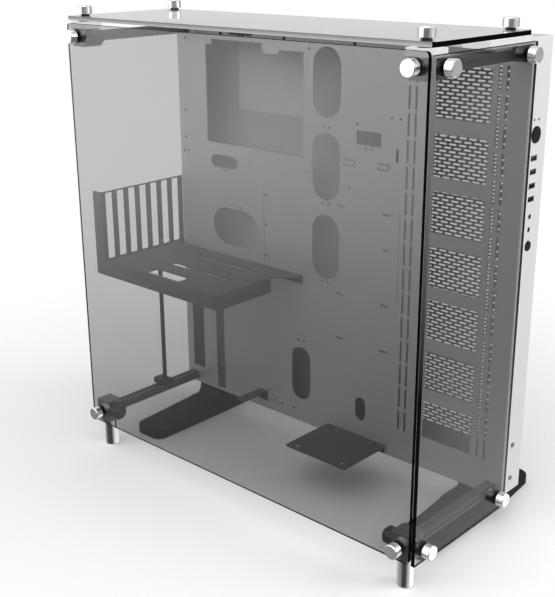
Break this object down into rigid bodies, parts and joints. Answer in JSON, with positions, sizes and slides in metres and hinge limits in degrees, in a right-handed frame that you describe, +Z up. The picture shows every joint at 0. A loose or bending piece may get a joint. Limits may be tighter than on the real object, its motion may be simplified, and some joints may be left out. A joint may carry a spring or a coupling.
{
  "type": "open air test bench",
  "caption": "Open frame computer test bench: a pierced upright tray behind tinted glass at front, top and side, on chrome legs and black feet, with a card slot bracket.",
  "frame": {"origin": "middle of the overall box in X and Y, on the floor", "axes": "+Z up, -Y out of the front glass, +X towards the side glass"},
  "size_m": [0.604, 0.333, 0.608],
  "materials": {
    "tinted_glass": "clear tinted",
    "bright_chrome": "polished",
    "black_rubber": "matt",
    "block_metal": "satin",
    "arm_metal": "satin",
    "knob_plastic": "matt",
    "foot_paint": "fine texture",
    "tray_paint": "satin",
    "wall_paint": "satin",
    "bracket_paint": "satin",
    "screw_steel": "satin",
    "button_plastic": "smooth",
    "board_laminate": "smooth",
    "socket_steel": "plated",
    "jack_plastic": "matt",
    "light_pipe": "clear"
  },
  "bodies": {
    "chassis": {"front_glass": "tinted_glass", "top_glass": "tinted_glass", "side_glass": "tinted_glass", "front_thumb_screws": "bright_chrome", "top_thumb_screws": "bright_chrome", "side_thumb_screws": "bright_chrome", "left_leg": "bright_chrome", "right_leg": "bright_chrome", "front_plate_left": "bright_chrome", "front_plate_right": "bright_chrome", "rear_plate_left": "bright_chrome", "rear_plate_right": "bright_chrome", "outer_washers": "black_rubber", "inner_washers": "black_rubber", "side_standoffs": "black_rubber", "front_block_low_left": "block_metal", "front_block_low_right": "block_metal", "front_block_high_left": "block_metal", "front_block_high_right": "block_metal", "arm_low_left": "arm_metal", "arm_low_right": "arm_metal", "arm_high_left": "arm_metal", "arm_high_right": "arm_metal", "rod_clamp": "arm_metal", "support_rod": "arm_metal", "clamp_knobs": "knob_plastic", "left_foot": "foot_paint", "right_foot": "foot_paint", "tray_panel": "tray_paint", "rear_cover": "tray_paint", "side_wall": "wall_paint", "slot_bracket": "bracket_paint", "card_shelf": "bracket_paint", "pump_plate": "bracket_paint", "supply_support": "bracket_paint", "wall_screws": "screw_steel", "rear_screws": "screw_steel", "board_posts": "screw_steel", "io_board": "board_laminate", "usb_socket_1": "socket_steel", "usb_socket_2": "socket_steel", "usb_socket_3": "socket_steel", "usb_socket_4": "socket_steel", "audio_jacks": "jack_plastic", "power_switch": "jack_plastic", "reset_switch": "jack_plastic", "status_lights": "light_pipe"},
    "power_key": {"power_button": "button_plastic"},
    "reset_key": {"reset_button": "button_plastic"}
  },
  "joints": [
    {"name": "power_press", "type": "slide", "parent": "chassis", "child": "power_key", "axis": [-1, 0, 0], "range_m": [0, 0.0015], "stiffness_N_per_m": 400},
    {"name": "reset_press", "type": "slide", "parent": "chassis", "child": "reset_key", "axis": [-1, 0, 0], "range_m": [0, 0.0012], "stiffness_N_per_m": 400}
  ]
}
